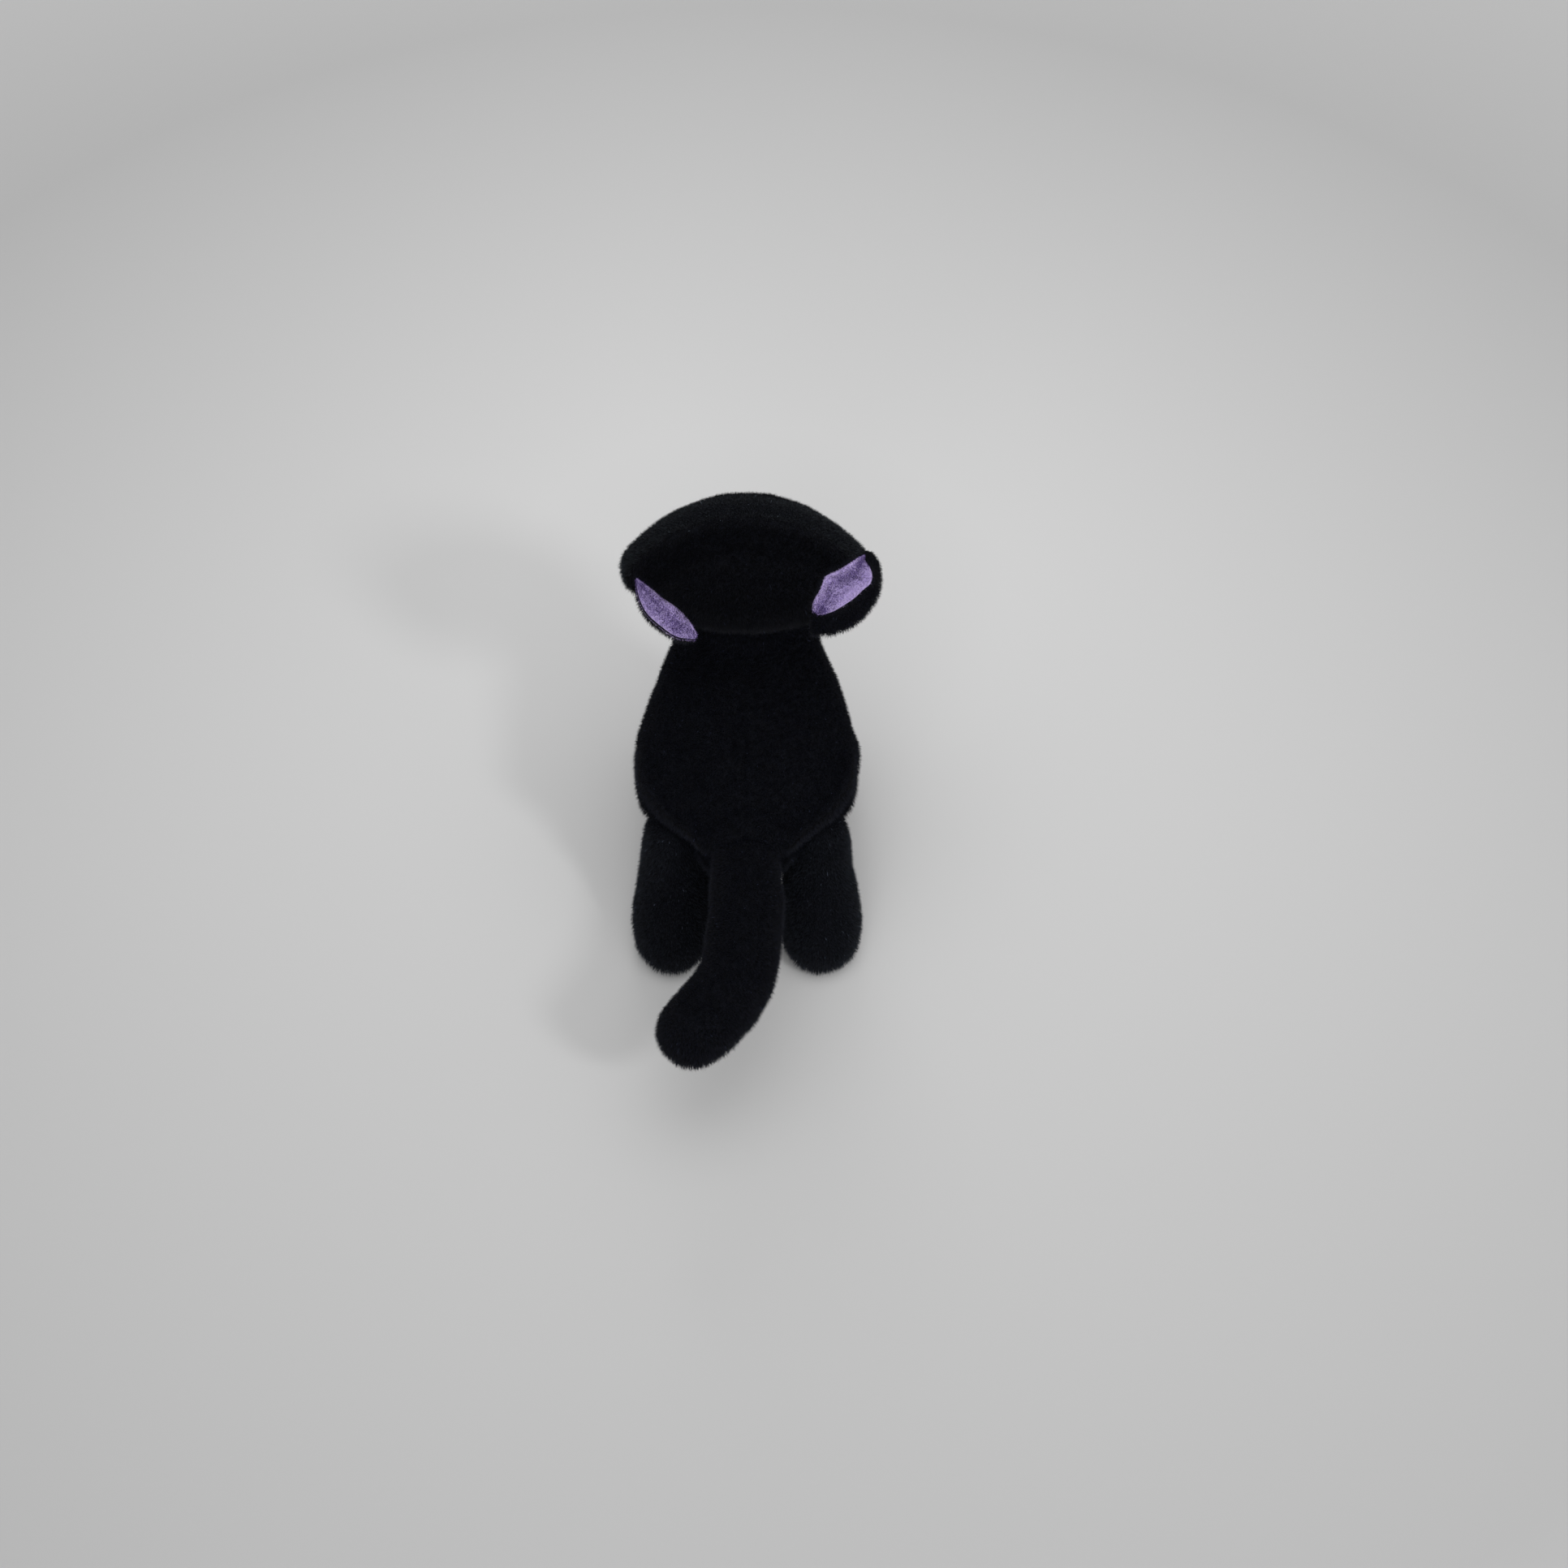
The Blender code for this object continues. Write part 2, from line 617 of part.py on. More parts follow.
PIVOTS = {"torso": Vector(), "neck": NECK, "head": NECK, "tail_base": TAIL_ROOT, "tail_tip": TAIL_BEND}


def empty(name, location, parent=None):
    made = bpy.data.objects.new(name, None)
    made.empty_display_size = 0.01
    made.location = location
    made.parent = parent
    PARTS.objects.link(made)
    return made


def pivot(group):
    """The empty on a moving group's joint, which carries the group's pieces."""
    name = "pivot_" + group
    return bpy.data.objects.get(name) or empty(name, PIVOTS[group], FRAME)


def finish(thing, name, finish_name, group):
    """Name a finished piece, give it its material and hang it on its group's pivot."""
    thing.name = name
    thing.data.name = name
    thing.data.materials.clear()
    thing.data.materials.append(material(f"{finish_name}.{name}", *FINISHES[finish_name]))
    carrier = pivot(group)
    thing.data.transform(Matrix.Translation(-carrier.location))
    thing.parent = carrier
    CUTTERS.objects.unlink(thing)
    PARTS.objects.link(thing)


FRAME = empty("plush_cat_frame", vector(CENTRE))
for place in HIP:
    for name, side in (("left", 1), ("right", -1)):
        PIVOTS[f"{place}_{name}_leg"] = hip(place, side)
for name, side in (("left", 1), ("right", -1)):
    PIVOTS[f"{name}_ear"] = ear_frame(name, side)[0].translation

make_body()
make_neck()
skull_form = make_head()
for name, side in (("left", 1), ("right", -1)):
    make_ear(name, side, skull_form)
    for place in HIP:
        make_leg(place, side, name)
drop(skull_form)
make_tail()
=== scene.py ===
"""A stuffed black plush cat, standing, seen from behind and above on a pale floor."""

import json
import math

import bmesh
import bpy
import numpy as np
from mathutils import Matrix, Vector
from mathutils.bvhtree import BVHTree


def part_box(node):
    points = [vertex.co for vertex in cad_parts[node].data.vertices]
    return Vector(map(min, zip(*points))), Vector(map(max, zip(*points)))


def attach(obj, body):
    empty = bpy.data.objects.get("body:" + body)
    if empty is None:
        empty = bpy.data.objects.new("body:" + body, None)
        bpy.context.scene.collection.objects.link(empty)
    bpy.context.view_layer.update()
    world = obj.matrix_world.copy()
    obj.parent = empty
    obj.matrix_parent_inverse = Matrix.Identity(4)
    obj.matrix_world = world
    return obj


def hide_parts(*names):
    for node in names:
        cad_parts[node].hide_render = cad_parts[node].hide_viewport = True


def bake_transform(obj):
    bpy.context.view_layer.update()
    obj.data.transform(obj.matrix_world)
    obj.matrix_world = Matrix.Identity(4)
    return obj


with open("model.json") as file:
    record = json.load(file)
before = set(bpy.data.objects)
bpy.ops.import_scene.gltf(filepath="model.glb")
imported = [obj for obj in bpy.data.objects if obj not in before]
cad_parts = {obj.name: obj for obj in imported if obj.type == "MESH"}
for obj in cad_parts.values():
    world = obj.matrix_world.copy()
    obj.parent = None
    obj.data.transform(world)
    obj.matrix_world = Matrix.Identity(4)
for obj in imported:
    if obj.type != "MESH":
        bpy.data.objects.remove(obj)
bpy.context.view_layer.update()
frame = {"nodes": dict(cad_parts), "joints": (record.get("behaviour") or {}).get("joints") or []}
NODES = frame["nodes"]
JOINTS = {joint["name"]: joint for joint in frame["joints"]}
MM = 0.001

# Cloth cells, and how the covers are filled
BODY_CELL = 1.9 * MM
HEAD_CELL = 1.5 * MM
SHRINK = 1.2 * MM
INSET = 0.6 * MM
SEAM_PIN = 1.6 * MM
SWELL_CAP = 1.5 * MM
SIM_FRAMES = 20

# Pile: lengths, and hairs to a square millimetre
PILE_LENGTH = 1.6 * MM
LINING_LENGTH = 0.6 * MM
EAR_PILE = 0.8
COVER_DENSITY = 9.0
LINING_DENSITY = 16.0
CREASE_SHADE_DENSITY = 26.0


# ---------------------------------------------------------------- mesh helpers


def joint_at(name):
    return Vector(JOINTS[name]["pos_m"])


def linked(name, mesh):
    thing = bpy.data.objects.new(name, mesh)
    bpy.context.scene.collection.objects.link(thing)
    return thing


def points(thing):
    co = np.empty(len(thing.data.vertices) * 3)
    thing.data.vertices.foreach_get("co", co)
    return co.reshape(-1, 3)


def set_points(thing, co):
    thing.data.vertices.foreach_set("co", co.ravel())
    thing.data.update()


def normals(thing):
    found = np.empty(len(thing.data.vertices) * 3)
    thing.data.vertex_normals.foreach_get("vector", found)
    return found.reshape(-1, 3)


def edge_pairs(thing):
    pairs = np.empty(len(thing.data.edges) * 2, int)
    thing.data.edges.foreach_get("vertices", pairs)
    return pairs.reshape(-1, 2)


def applied(thing):
    """Makes the modified mesh the object's own."""
    graph = bpy.context.evaluated_depsgraph_get()
    mesh = bpy.data.meshes.new_from_object(thing.evaluated_get(graph), depsgraph=graph)
    old = thing.data
    thing.modifiers.clear()
    thing.data = mesh
    bpy.data.meshes.remove(old)
    return thing


def relaxed(thing, rounds, pull=0.5, push=-0.52):
    """Evens the surface out without shrinking it."""
    co = points(thing)
    pairs = edge_pairs(thing)
    count = np.bincount(pairs.ravel(), minlength=len(co))[:, None]
    for step in range(rounds * 2):
        total = np.zeros_like(co)
        np.add.at(total, pairs[:, 0], co[pairs[:, 1]])
        np.add.at(total, pairs[:, 1], co[pairs[:, 0]])
        co += (push if step % 2 else pull) * (total / count - co)
    set_points(thing, co)


def biggest_island(thing):
    """Drops every loose shell but the one with the most faces."""
    form = bmesh.new()
    form.from_mesh(thing.data)
    form.faces.ensure_lookup_table()
    seen = set()
    islands = []
    for first in form.faces:
        if first in seen:
            continue
        island = [first]
        seen.add(first)
        for face in island:
            for edge in face.edges:
                for other in edge.link_faces:
                    if other not in seen:
                        seen.add(other)
                        island.append(other)
        islands.append(island)
    islands.sort(key=len)
    for island in islands[:-1]:
        bmesh.ops.delete(form, geom=island, context="FACES")
    form.to_mesh(thing.data)
    form.free()


def lump(name, nodes, cell, balls=()):
    """One closed cover round some CAD solids and balls, in even cells."""
    form = bmesh.new()
    for node in nodes:
        form.from_mesh(NODES[node].data)
    for centre, radii in balls:
        place = Matrix.Translation(centre) @ Matrix.Diagonal((*radii, 1.0))
        bmesh.ops.create_icosphere(form, subdivisions=4, radius=1.0, matrix=place)
    mesh = bpy.data.meshes.new(name)
    form.to_mesh(mesh)
    form.free()
    thing = linked(name, mesh)
    cells = thing.modifiers.new("cells", "REMESH")
    cells.mode = "VOXEL"
    cells.voxel_size = cell
    applied(thing)
    biggest_island(thing)
    thing.data.materials.clear()
    relaxed(thing, 3)
    return thing


def mesh_tree(*meshes):
    form = bmesh.new()
    for mesh in meshes:
        form.from_mesh(mesh)
    tree = BVHTree.FromBMesh(form)
    form.free()
    return tree


def tree_of(nodes):
    return mesh_tree(*(NODES[node].data for node in nodes))


def seam_gap(thing, groups):
    """How far each point is from the line where its nearest panel changes."""
    trees = [tree_of(group) for group in groups]
    found = [[tree.find_nearest(p)[3] for tree in trees] for p in points(thing)]
    ranked = np.sort(np.array(found), axis=1)
    return ranked[:, 1] - ranked[:, 0]


def stuffed(thing, groups):
    """Fills the cover: pressure inside, held at its seams, then an even move out to its size.

    On a piece this small the pressure moves the cover by less than half a millimetre, so most
    of its shape comes from the panels and from the moves that follow.
    """
    gap = seam_gap(thing, groups) if len(groups) > 1 else np.full(len(points(thing)), 1.0)
    start = points(thing) - normals(thing) * SHRINK
    set_points(thing, start)
    held = thing.vertex_groups.new(name="seams")
    for index in np.nonzero(gap < SEAM_PIN)[0]:
        held.add([int(index)], 1.0, "REPLACE")
    cover = thing.modifiers.new("cover", "CLOTH")
    fabric = cover.settings
    fabric.quality = 6
    fabric.mass = 0.001
    fabric.tension_stiffness = 8
    fabric.compression_stiffness = 8
    fabric.shear_stiffness = 3
    fabric.bending_stiffness = 0.05
    fabric.use_pressure = True
    fabric.uniform_pressure_force = 30
    fabric.effector_weights.gravity = 0
    fabric.vertex_group_mass = "seams"
    cover.collision_settings.use_collision = False
    cover.point_cache.frame_start = 1
    cover.point_cache.frame_end = SIM_FRAMES
    for step in range(1, SIM_FRAMES + 1):
        bpy.context.scene.frame_set(step)
    applied(thing)
    thing.vertex_groups.clear()
    moved = points(thing) - start
    length = np.linalg.norm(moved, axis=1, keepdims=True)
    moved *= np.minimum(1.0, SWELL_CAP / np.maximum(length, 1e-9))
    outward = normals(thing)
    short = SHRINK - INSET - float(np.mean(np.sum(moved * outward, axis=1)))
    set_points(thing, start + moved + outward * short)


def refined(thing, levels=1):
    finer = thing.modifiers.new("finer", "SUBSURF")
    finer.levels = levels
    finer.render_levels = levels
    applied(thing)
    for face in thing.data.polygons:
        face.use_smooth = True


def sewn(thing, groups, depth, width, ridge=0.0):
    """Sinks the cover along its seams, with a low roll on each side."""
    gap = seam_gap(thing, groups)
    sink = np.exp(-((gap / width) ** 2))
    roll = np.exp(-(((gap - 2.2 * width) / width) ** 2))
    set_points(thing, points(thing) + normals(thing) * (roll * ridge - sink * depth)[:, None])


def smooth(value, low, high):
    part = np.clip((value - low) / (high - low), 0.0, 1.0)
    return part * part * (3 - 2 * part)


def reach_to(thing, nodes):
    tree = tree_of(nodes)
    return np.array([tree.find_nearest(p)[3] for p in points(thing)])


def rump_edge(thing):
    """A raised edge where the back ends over legs and tail, and a sharp turn down below it."""
    co = points(thing)
    from_back = reach_to(thing, ["back_panel"])
    from_side = reach_to(thing, ["left_side_panel", "right_side_panel", "belly_panel"])
    rear = smooth(co[:, 1], -30 * MM, -12 * MM)
    edge = np.exp(-(((from_back + from_side) / (1.9 * MM)) ** 2))
    under = np.exp(-(((from_back - 5.5 * MM) / (3.2 * MM)) ** 2)) * (from_back > from_side)
    above = np.exp(-(((from_side - 6 * MM) / (4 * MM)) ** 2)) * (from_side > from_back)
    rise = (edge * 2.0 * MM - under * 2.6 * MM - above * 0.5 * MM) * rear
    rise += edge * rear * smooth(np.abs(co[:, 0]), 22 * MM, 36 * MM) * 1.6 * MM
    dart = np.exp(-((co[:, 0] / (0.9 * MM)) ** 2)) * (from_side > from_back)
    rise -= dart * 0.45 * MM * smooth(co[:, 1], -34 * MM, -24 * MM)
    set_points(thing, co + normals(thing) * rise[:, None])


def crown_edge(thing):
    """A soft ridge from ear to ear, where the forehead meets the back of the head."""
    from_back = reach_to(thing, ["head_back_panel"])
    from_front = reach_to(thing, ["forehead_panel"])
    behind = from_front > from_back
    ridge = np.exp(-(((from_front - 1.2 * MM) / (1.7 * MM)) ** 2))
    ridge *= np.exp(-((from_back / (1.6 * MM)) ** 2))
    hollow = np.exp(-(((from_front - 8.0 * MM) / (4.5 * MM)) ** 2)) * behind
    ahead = np.exp(-(((from_back - 7.0 * MM) / (5.0 * MM)) ** 2)) * ~behind
    rise = ridge * 2.2 * MM - hollow * 1.9 * MM + ahead * 1.2 * MM
    set_points(thing, points(thing) + normals(thing) * rise[:, None])


def slimmed(thing, start, axis, radius, until):
    """Draws a tube in to one radius over its first stretch, where it goes into the body."""
    co = points(thing)
    away = co - np.array(start)
    along = away @ np.array(axis)
    across = away - along[:, None] * np.array(axis)
    wide = np.linalg.norm(across, axis=1)
    fade = np.clip((until - along) / (8 * MM), 0.0, 1.0)
    over = np.maximum(wide - radius, 0.0) * fade
    set_points(thing, co - across * (over / np.maximum(wide, 1e-9))[:, None])


def lumpy(thing, height, size, seed):
    """The soft unevenness of fibre filling under a thin cover."""
    rng = np.random.default_rng(seed)
    co = points(thing)
    rise = np.zeros(len(co))
    for _ in range(9):
        direction = rng.normal(size=3)
        direction /= np.linalg.norm(direction)
        pitch = size * rng.uniform(0.7, 1.5)
        rise += np.sin(co @ direction * (2 * math.pi / pitch) + rng.uniform(0, 2 * math.pi))
    set_points(thing, co + normals(thing) * (rise * height / 3)[:, None])


# ---------------------------------------------------------------- materials


def shader(name, roughness, **sockets):
    made = bpy.data.materials.new(name)
    made.use_nodes = True
    surface = made.node_tree.nodes["Principled BSDF"]
    surface.inputs["Roughness"].default_value = roughness
    for socket, value in sockets.items():
        surface.inputs[socket.replace("_", " ")].default_value = value
    return made, made.node_tree, surface


def noise(tree, coordinates, scale, detail=3.0, roughness=0.55):
    made = tree.nodes.new("ShaderNodeTexNoise")
    made.inputs["Scale"].default_value = scale
    made.inputs["Detail"].default_value = detail
    made.inputs["Roughness"].default_value = roughness
    tree.links.new(coordinates, made.inputs["Vector"])
    return made.outputs["Fac"]


def ramp(tree, factor, stops):
    made = tree.nodes.new("ShaderNodeValToRGB")
    while len(made.color_ramp.elements) < len(stops):
        made.color_ramp.elements.new(0.5)
    for element, (place, colour) in zip(made.color_ramp.elements, stops):
        element.position = place
        element.color = (*colour, 1.0)
    tree.links.new(factor, made.inputs["Fac"])
    return made.outputs["Color"]


def bump(tree, height, distance, strength, under=None):
    made = tree.nodes.new("ShaderNodeBump")
    made.inputs["Distance"].default_value = distance
    made.inputs["Strength"].default_value = strength
    tree.links.new(height, made.inputs["Height"])
    if under:
        tree.links.new(under, made.inputs["Normal"])
    return made.outputs["Normal"]


def plush(name, dark, light, sheen, tint):
    """Short pile: fine fibres, small clumps, and a soft glow at its edges."""
    made, tree, surface = shader(
        name,
        0.82,
        Sheen_Weight=sheen,
        Sheen_Roughness=0.35,
        Sheen_Tint=(*tint, 1.0),
        Specular_IOR_Level=0.12,
    )
    place = tree.nodes.new("ShaderNodeTexCoord").outputs["Object"]
    clumps = noise(tree, place, 420.0, 4.0, 0.7)
    fibres = noise(tree, place, 2600.0, 2.0, 0.6)
    colour = ramp(tree, clumps, ((0.3, dark), (0.7, light)))
    tree.links.new(colour, surface.inputs["Base Color"])
    coarse = bump(tree, clumps, 0.5 * MM, 0.6)
    tree.links.new(bump(tree, fibres, 0.25 * MM, 0.8, coarse), surface.inputs["Normal"])
    return made


def fibre(name, dark, light, roughness, glint_level):
    """The pile's hairs: dark at the root and light at the tip, a painted shade deep in the pile
    and a painted sheen at the tips; each its own shade, and a rare one much lighter, a painted
    glint.
    """
    made, tree, surface = shader(name, roughness, Specular_IOR_Level=0.25)
    info = tree.nodes.new("ShaderNodeHairInfo")
    painted_root_shade_tip_sheen = ramp(tree, info.outputs["Intercept"], ((0.15, dark), (0.95, light)))
    tones_and_glint = ((0.0, (0.35,) * 3), (0.9, (1.0,) * 3), (0.998, (1.7,) * 3), (0.9988, (glint_level,) * 3))
    each = ramp(tree, info.outputs["Random"], tones_and_glint)
    both = tree.nodes.new("ShaderNodeMix")
    both.data_type = "RGBA"
    both.blend_type = "MULTIPLY"
    both.inputs["Factor"].default_value = 1.0
    tree.links.new(painted_root_shade_tip_sheen, both.inputs["A"])
    tree.links.new(each, both.inputs["B"])
    tree.links.new(both.outputs["Result"], surface.inputs["Base Color"])
    return made


BLACK = plush(
    "black_plush", (0.0016, 0.0018, 0.0032), (0.0045, 0.0054, 0.0100), 0.05, (0.6, 0.65, 0.8)
)


def black_fibre(name, level, blue=0.0255):
    """Black pile; level is how light its hairs are, blue how cold."""
    root = tuple(part * level for part in (0.0006, 0.0006, 0.0009))
    tip = tuple(part * level for part in (0.0110, 0.0132, blue))
    return fibre(name, root, tip, 0.6, 14.0)


# The real cat is one fabric; legs and crown are lighter here, and the head darker, to match the
# tones that the photo shows: painted light on the legs, a painted sheen over the crown, painted
# shade on the head
BLACK_PILE = black_fibre("black_pile", 1.15)
LEG_PILE_PAINTED_LIGHT = black_fibre("leg_pile", 3.4, 0.0185)
HEAD_PILE_PAINTED_SHADE = black_fibre("head_pile", 0.6)
CROWN_PILE_PAINTED_SHEEN = black_fibre("crown_pile", 5.5, 0.0160)
LAVENDER = plush(
    "lavender_plush", (0.46, 0.36, 0.70), (0.62, 0.50, 0.86), 0.3, (0.9, 0.85, 1.0)
)
LAVENDER_PILE = fibre("lavender_pile", (0.50, 0.39, 0.70), (0.74, 0.62, 0.92), 0.7, 1.1)
# A darker lining pile: painted shade for the ear's crease
LAVENDER_CREASE_SHADE = fibre("lavender_deep_pile", (0.18, 0.11, 0.38), (0.31, 0.21, 0.58), 0.7, 1.1)


def satin(name, dark, light):
    """Glossy embroidery thread laid side by side."""
    made, tree, surface = shader(name, 0.42, Sheen_Weight=0.2)
    place = tree.nodes.new("ShaderNodeTexCoord").outputs["Object"]
    wave = tree.nodes.new("ShaderNodeTexWave")
    wave.wave_profile = "SIN"
    wave.inputs["Scale"].default_value = 620.0
    wave.inputs["Distortion"].default_value = 0.3
    tree.links.new(place, wave.inputs["Vector"])
    colour = ramp(tree, wave.outputs["Fac"], ((0.1, dark), (0.8, light)))
    tree.links.new(colour, surface.inputs["Base Color"])
    tree.links.new(bump(tree, wave.outputs["Fac"], 0.15 * MM, 0.8), surface.inputs["Normal"])
    return made


def moulded(name, colour):
    made, tree, surface = shader(name, 0.45)
    place = tree.nodes.new("ShaderNodeTexCoord").outputs["Object"]
    grain = noise(tree, place, 900.0)
    shade = tuple(part * 0.9 for part in colour)
    tree.links.new(ramp(tree, grain, ((0.2, shade), (0.8, colour))), surface.inputs["Base Color"])
    tree.links.new(bump(tree, grain, 0.05 * MM, 0.4), surface.inputs["Normal"])
    return made


def iris(name, radius):
    """Amber plastic with a round black pupil, by distance from the dome's middle."""
    made, tree, surface = shader(name, 0.1, Coat_Weight=0.25, Coat_Roughness=0.03)
    place = tree.nodes.new("ShaderNodeTexCoord").outputs["Object"]
    flat = tree.nodes.new("ShaderNodeVectorMath")
    flat.operation = "MULTIPLY"
    flat.inputs[1].default_value = (1.0 / radius, 1.0 / radius, 0.0)
    tree.links.new(place, flat.inputs[0])
    away = tree.nodes.new("ShaderNodeVectorMath")
    away.operation = "LENGTH"
    tree.links.new(flat.outputs[0], away.inputs[0])
    stops = (
        (0.0, (0.004, 0.004, 0.004)),
        (0.55, (0.004, 0.004, 0.004)),
        (0.59, (0.50, 0.23, 0.02)),
        (0.85, (0.80, 0.50, 0.06)),
        (0.95, (0.10, 0.05, 0.01)),
    )
    tree.links.new(ramp(tree, away.outputs["Value"], stops), surface.inputs["Base Color"])
    return made


THREAD = satin("lavender_thread", (0.34, 0.24, 0.52), (0.58, 0.46, 0.80))
WASHER = moulded("washer_plastic", (0.75, 0.75, 0.72))


def wear(thing, *materials):
    thing.data.materials.clear()
    for material in materials:
        thing.data.materials.append(material)


def pile(thing, density, length, seed, trim=None, bare=None, finish=1):
    """Stands a short, slightly tangled pile on the cover.

    trim and bare name the vertex groups for its length and its density, finish its material.
    """
    area = sum(face.area for face in thing.data.polygons) / (MM * MM)
    thing.modifiers.new("pile", "PARTICLE_SYSTEM")
    system = thing.particle_systems[-1]
    system.seed = seed
    hair = system.settings
    hair.type = "HAIR"
    hair.count = int(area * density)
    hair.hair_step = 3
    hair.render_step = 2
    hair.display_step = 2
    hair.emit_from = "FACE"
    hair.distribution = "RAND"
    hair.use_emit_random = True
    hair.use_even_distribution = True
    hair.use_advanced_hair = True
    hair.hair_length = length
    speed = length / 4
    hair.factor_random = speed * 0.45
    hair.length_random = 0.45
    hair.object_align_factor = (0.0, speed * 0.45, -speed * 0.3)
    hair.radius_scale = 1.0
    hair.root_radius = 0.12 * MM
    hair.tip_radius = 0.03 * MM
    hair.material_slot = thing.data.materials[finish].name
    if trim:
        system.vertex_group_length = trim
    if bare:
        system.vertex_group_density = bare


# ---------------------------------------------------------------- covers


HIP_FILL = (10.5 * MM,) * 3
RUMP_FILL = (17 * MM, 12 * MM, 14 * MM)
RUMP_AHEAD = Vector((0, -11 * MM, 0))
LEGS = ("front_left", "front_right", "hind_left", "hind_right")

neck_at = joint_at("head_nod")
neck_axis = Vector(JOINTS["neck_turn"]["axis"]).normalized()

# Torso, with its neck
TORSO = ("back_panel", "belly_panel", "left_side_panel", "right_side_panel")
torso_seams = [[node] for node in TORSO] + [["neck_cover"]]
fills = [(joint_at(f"{leg}_hip"), HIP_FILL) for leg in LEGS]
fills.append((joint_at("tail_swing") + RUMP_AHEAD, RUMP_FILL))
torso = lump(
    "torso_cover",
    [*TORSO, "body_stuffing", "neck_cover", "neck_stuffing"],
    BODY_CELL,
    fills,
)
stuffed(torso, torso_seams)
refined(torso)
sewn(torso, torso_seams, 0.35 * MM, 0.8 * MM)
rump_edge(torso)
lumpy(torso, 0.25 * MM, 17 * MM, 3)
wear(torso, BLACK, BLACK_PILE)
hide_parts(*TORSO, "body_stuffing", "neck_cover", "neck_stuffing")

# Head
HEAD = ("head_back_panel", "forehead_panel", "left_cheek_panel", "right_cheek_panel")
head_seams = [[node] for node in HEAD]
head = lump("head_cover", [*HEAD, "head_stuffing"], HEAD_CELL, [(neck_at, (18 * MM,) * 3)])
stuffed(head, head_seams)
refined(head)
sewn(head, head_seams, 0.3 * MM, 0.8 * MM)
crown_edge(head)
lumpy(head, 0.2 * MM, 15 * MM, 5)
# The head's pile is darker, a painted shade, and the crown's is lighter, a painted sheen
wear(head, BLACK, HEAD_PILE_PAINTED_SHADE, CROWN_PILE_PAINTED_SHEEN)
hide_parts(*HEAD, "head_stuffing")

# Legs
legs = {}
for number, leg in enumerate(LEGS):
    nodes = [f"{leg}_leg_{part}" for part in ("cover", "stuffing", "sole")]
    cover = lump(f"{leg}_leg_cover_plush", nodes, BODY_CELL)
    seams = [[nodes[0]], [nodes[2]]]
    hip = joint_at(f"{leg}_hip")
    sole_low, sole_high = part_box(nodes[2])
    down = ((sole_low + sole_high) / 2 - hip).normalized()
    slimmed(cover, hip, down, 11.4 * MM, 9 * MM)
    stuffed(cover, seams)
    refined(cover)
    sewn(cover, seams, 0.5 * MM, 0.8 * MM, 0.2 * MM)
    lumpy(cover, 0.2 * MM, 13 * MM, 11 + number)
    # The legs' pile is lighter: painted light
    wear(cover, BLACK, LEG_PILE_PAINTED_LIGHT)
    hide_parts(*nodes)
    legs[leg] = cover

# Tail
TAIL = ("tail_base_cover", "tail_base_stuffing", "tail_tip_cover", "tail_tip_stuffing")
tail = lump("tail_cover", TAIL, BODY_CELL)
slimmed(tail, joint_at("tail_swing"), (0.0, 1.0, 0.0), 12.0 * MM, 26 * MM)
stuffed(tail, [TAIL])
refined(tail)
lumpy(tail, 0.3 * MM, 14 * MM, 21)
wear(tail, BLACK, BLACK_PILE)
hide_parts(*TAIL)

# Ears
# An ear's own plane faces the camera
LEAN = math.radians(50)
RIGHT = Vector((-1, 0, 0))
UP = Vector((0, -math.sin(LEAN), math.cos(LEAN)))
OUT = Vector((0, math.cos(LEAN), math.sin(LEAN)))
STATIONS = 30
# Each ear as lines in its own plane, in mm right and up from the fold joint: where the lining
# meets the head, its crease, its rim, and the outer edge of the plush back; then how far rim and
# outer edge stand out from the head, and how deep the crease is. The points were read off the
# photo by eye, turned into millimetres by a scratch script and rounded
EARS = {
    "right": {
        "inner": (
            (10.7, 12.5), (8.2, 11.0), (5.1, 8.8), (2.6, 7.1), (-0.8, 5.5), (-2.7, 4.2),
            (-4.0, 0.3), (-6.4, -3.7), (-6.6, -6.4),
        ),
        "crease": (
            (10.7, 12.3), (9.3, 9.6), (7.4, 7.7), (4.9, 6.0), (2.0, 4.0), (-0.4, 2.0),
            (-1.2, -0.8), (-2.4, -4.2), (-4.6, -7.2),
        ),
        "rim": (
            (10.8, 12.4), (10.8, 10.0), (12.3, 7.6), (13.1, 4.8), (12.5, 2.2), (10.0, 0.2),
            (7.3, -2.5), (3.6, -5.0), (-0.4, -7.2), (-4.8, -7.9),
        ),
        "outer": (
            (10.8, 13.9), (13.0, 13.4), (14.8, 10.6), (15.6, 6.0), (15.3, 1.0), (13.8, -3.4),
            (10.6, -7.8), (6.9, -11.0), (2.6, -13.1), (-2.5, -14.3), (-7.5, -14.2),
        ),
        "rim_lift": -1.0,
        "outer_lift": -5.0,
        "fold": 3.0,
    },
    "left": {
        "inner": (
            (-6.8, 4.4), (-4.2, 2.6), (-1.3, 0.4), (2.2, -2.4), (6.5, -5.4), (10.2, -9.2),
            (12.6, -13.8),
        ),
        "crease": (
            (-6.8, 4.2), (-5.2, 1.9), (-3.2, -0.8), (-0.4, -4.2), (3.9, -7.8), (8.5, -11.5),
            (12.4, -14.4),
        ),
        "rim": (
            (-7.0, 4.0), (-6.8, 0.8), (-6.0, -2.6), (-3.8, -7.0), (0.6, -11.2), (6.0, -14.7),
            (12.0, -15.4),
        ),
        "outer": (
            (-7.1, 4.4), (-7.1, 0.8), (-6.4, -2.8), (-4.1, -7.4), (0.3, -11.6), (5.8, -15.1),
            (12.2, -15.8),
        ),
        "rim_lift": -0.3,
        "outer_lift": -3.0,
        "fold": 1.3,
    },
}


